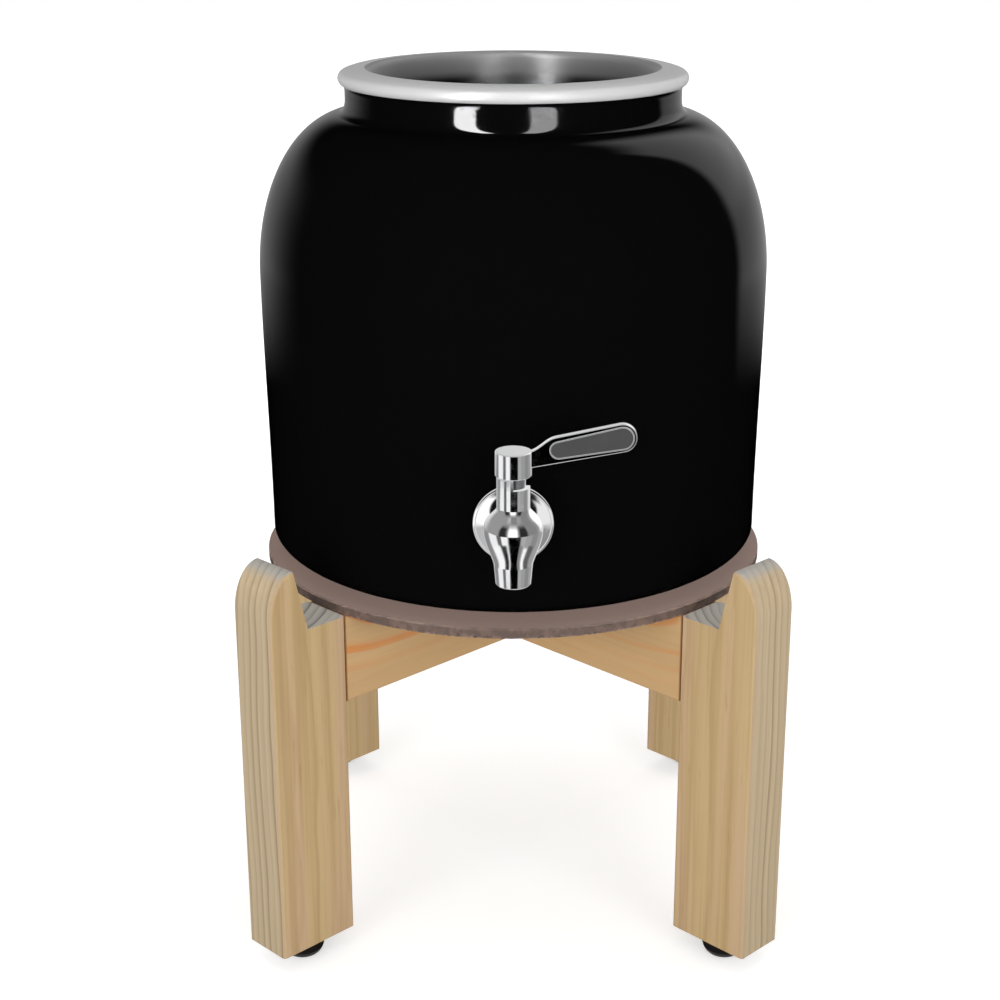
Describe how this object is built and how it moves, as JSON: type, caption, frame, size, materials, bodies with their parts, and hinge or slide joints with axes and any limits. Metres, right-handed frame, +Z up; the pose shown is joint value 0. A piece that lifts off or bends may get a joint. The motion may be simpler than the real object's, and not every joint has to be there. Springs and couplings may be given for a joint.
{
  "type": "water crock dispenser",
  "caption": "Glazed ceramic water crock with a quarter-turn lever tap, seated on a round board in a low notched wooden stand.",
  "frame": {"origin": "on the floor under the centre of the stand, midway between its four glides", "axes": "+Z up, the tap points to -Y, the shut lever points to +X"},
  "size_m": [0.277, 0.3075, 0.4515],
  "materials": {
    "glaze": "gloss black glaze with a white glazed lip",
    "chrome": "polished chrome plate",
    "steel": "turned stainless steel",
    "seal_rubber": "matt silicone rubber",
    "inset_plastic": "satin grey plastic",
    "fibreboard": "bare hardboard, brown grey",
    "pine": "clear-coated pine",
    "dowel_wood": "plain beech",
    "glide_plastic": "black moulded plastic"
  },
  "bodies": {
    "stand": {"beam_lower": "pine", "beam_upper": "pine", "beam_dowels": "dowel_wood", "glide_nails": "steel", "leg_front_left": "pine", "foot_glide_front_left": "glide_plastic", "leg_front_right": "pine", "foot_glide_front_right": "glide_plastic", "leg_back_right": "pine", "foot_glide_back_right": "glide_plastic", "leg_back_left": "pine", "foot_glide_back_left": "glide_plastic"},
    "platform": {"platform_disc": "fibreboard"},
    "crock": {"crock_body": "glaze", "tap_body": "chrome", "tap_escutcheon": "chrome", "outer_seal": "seal_rubber", "inner_seal": "seal_rubber", "inner_washer": "steel", "shank_nut": "steel", "retaining_pin": "steel"},
    "lever": {"valve_stem": "steel", "stem_o_rings": "seal_rubber", "lever_handle": "chrome", "lever_inset": "inset_plastic", "handle_screw": "steel"}
  },
  "joints": [
    {"name": "platform_lift", "type": "slide", "parent": "stand", "child": "platform", "axis": [0, 0, 1], "range_m": [0, 0.06]},
    {"name": "crock_lift", "type": "slide", "parent": "platform", "child": "crock", "axis": [0, 0, 1], "range_m": [0, 0.06]},
    {"name": "lever_turn", "type": "hinge", "parent": "crock", "child": "lever", "pos_m": [0, -0.15493, 0.2813], "axis": [0, 0, 1], "range_deg": [-90, 0]}
  ]
}
